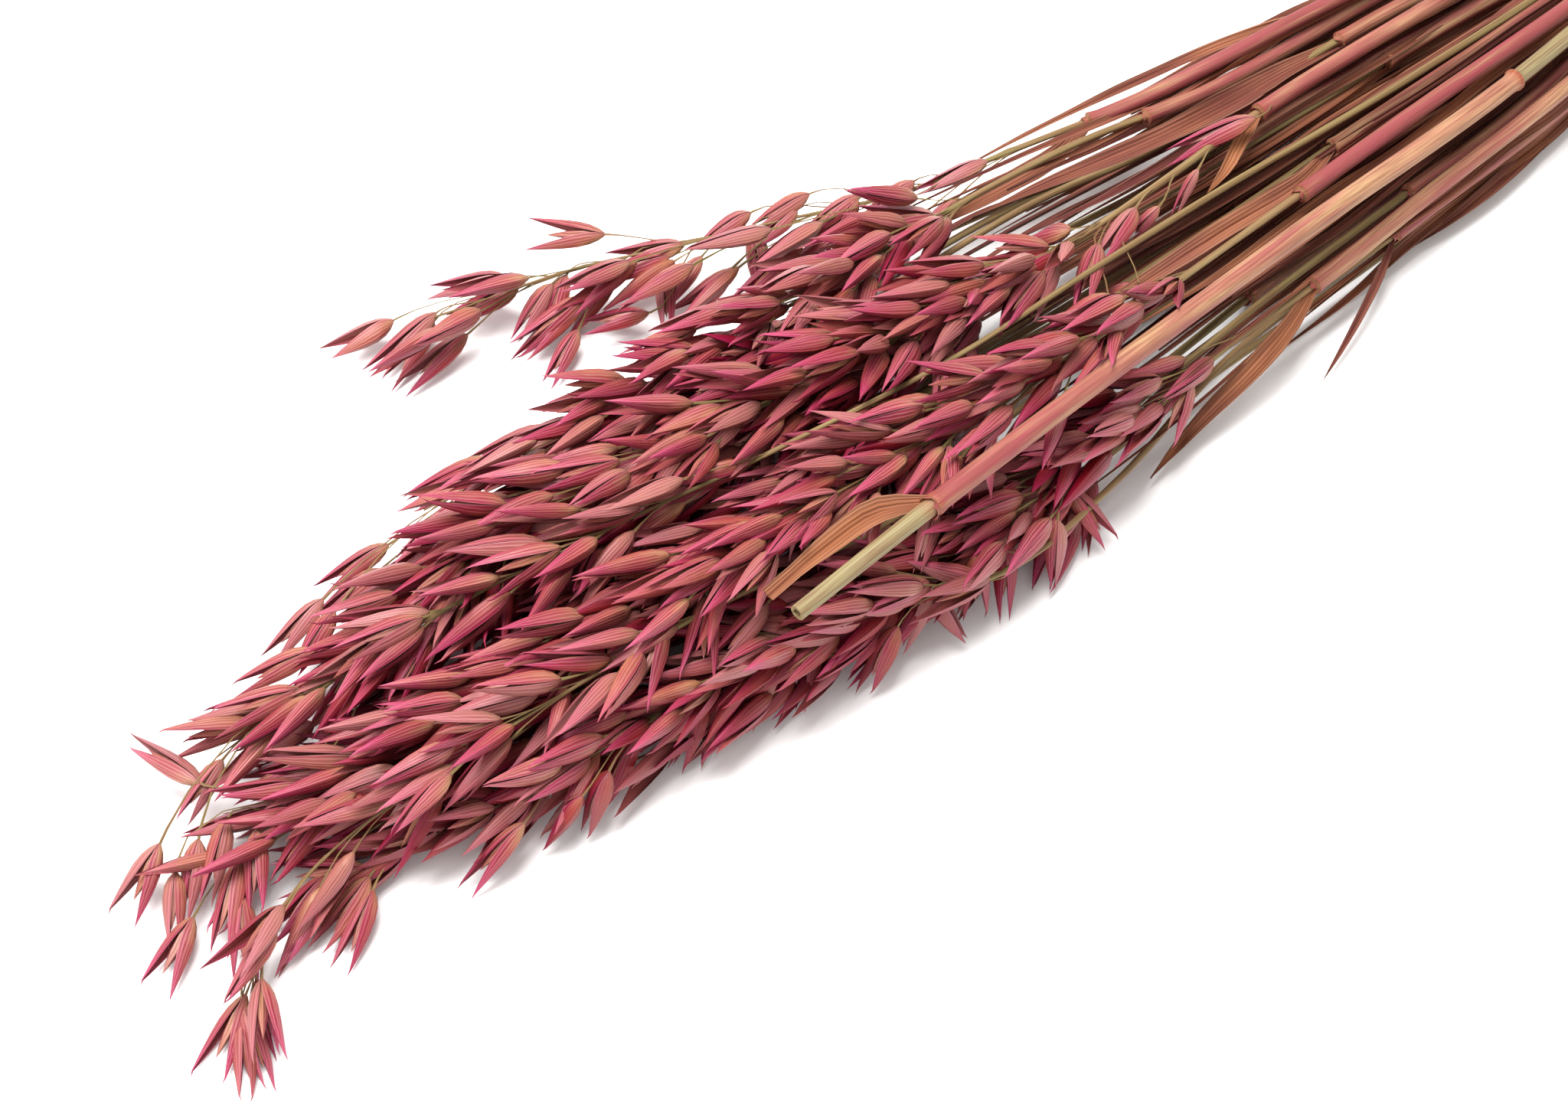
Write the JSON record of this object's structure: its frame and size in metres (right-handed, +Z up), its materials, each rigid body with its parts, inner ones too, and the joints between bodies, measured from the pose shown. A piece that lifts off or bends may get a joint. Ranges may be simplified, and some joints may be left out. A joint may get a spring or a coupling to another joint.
{
  "type": "dried oats bundle",
  "caption": "Tied bundle of dried dyed oats lying on its side: straw stems with leaf sheaths and blades, and long heads of pointed husks that droop at the tips.",
  "frame": {"origin": "middle of the bounding box, on the surface that the bundle lies on", "axes": "+X along the bundle from the seed heads to the cut ends, +Z up"},
  "size_m": [0.6581, 0.1689, 0.0589],
  "materials": {
    "straw": "satin straw, partly dyed pink",
    "husk": "matt papery husk, dyed dusty rose",
    "twine": "matt jute twine"
  },
  "bodies": {
    "root": {"stem_01": "straw", "stem_02": "straw", "stem_03": "straw", "stem_04": "straw", "stem_05": "straw", "stem_06": "straw", "stem_07": "straw", "stem_08": "straw", "stem_09": "straw", "stem_10": "straw", "stem_11": "straw", "stem_12": "straw", "stem_13": "straw", "stem_14": "straw", "stem_15": "straw", "stem_16": "straw", "stem_17": "straw", "stem_18": "straw", "stem_19": "straw", "stem_20": "straw", "stem_21": "straw", "stem_22": "straw", "head_01": "husk", "head_02": "husk", "head_03": "husk", "head_04": "husk", "head_05": "husk", "head_06": "husk", "head_07": "husk", "head_08": "husk", "head_09": "husk", "head_10": "husk", "head_11": "husk", "head_12": "husk", "head_13": "husk", "head_14": "husk", "head_15": "husk", "head_16": "husk", "head_17": "husk", "head_18": "husk", "head_19": "husk", "head_20": "husk", "head_21": "husk", "head_22": "husk", "cut_stalk": "straw", "tie": "twine"}
  },
  "joints": []
}
